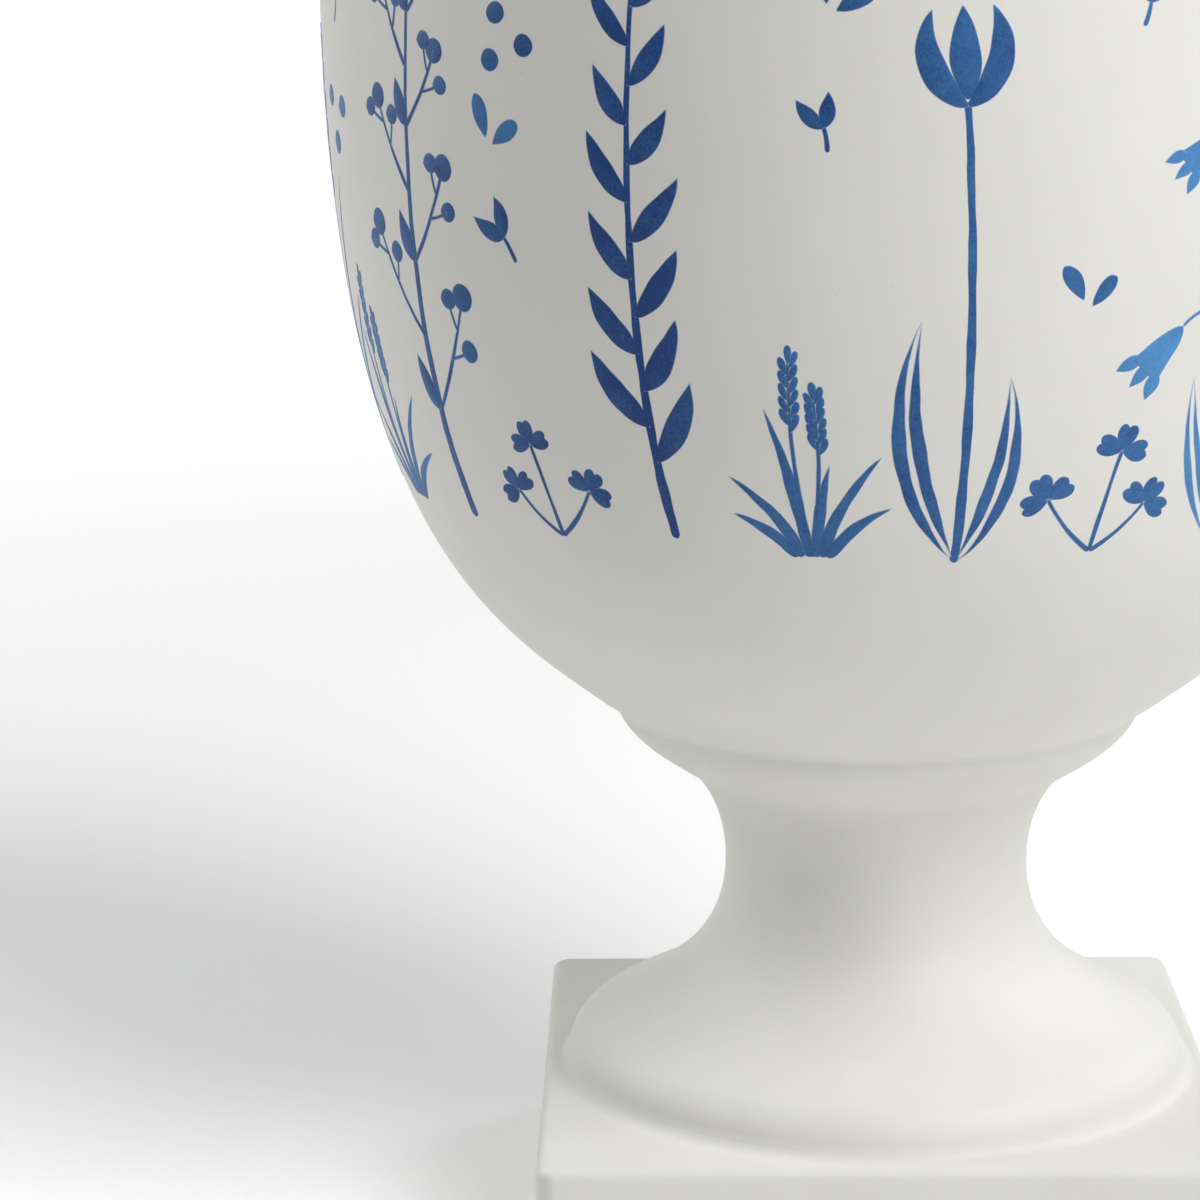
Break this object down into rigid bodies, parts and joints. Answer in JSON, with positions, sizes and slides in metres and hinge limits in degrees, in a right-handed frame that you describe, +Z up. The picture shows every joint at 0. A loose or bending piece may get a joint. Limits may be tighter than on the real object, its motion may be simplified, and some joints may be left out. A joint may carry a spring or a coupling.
{
  "type": "footed vase",
  "caption": "Deep white porcelain vase on a waisted round pedestal and a square plinth, clamped together by one bolt through the middle.",
  "frame": {"origin": "on the ground, at the middle of the square plinth", "axes": "+Z up along the axis of the bowl, the pedestal and the bolt; +X to the right; -Y towards the plinth's front"},
  "size_m": [0.1952, 0.1952, 0.3],
  "materials": {
    "porcelain": "satin matte outside with a sparse cobalt blue plant print, clear gloss glaze inside the bowl",
    "steel": "plain stainless fasteners, turned and rolled",
    "rubber": "matte black moulded seal",
    "cork": "pressed cork sheet, cut as rings",
    "felt": "pale wool felt discs"
  },
  "bodies": {
    "root": {"bowl": "porcelain", "pedestal": "porcelain", "plinth": "porcelain", "seat_gasket": "cork", "foot_gasket": "cork", "clamp_pad": "cork", "tie_bolt": "steel", "bowl_washer": "steel", "clamp_plate": "steel", "spring_washer": "steel", "hex_nut": "steel", "bowl_seal": "rubber", "base_pad_1": "felt", "base_pad_2": "felt", "base_pad_3": "felt", "base_pad_4": "felt"}
  },
  "joints": []
}
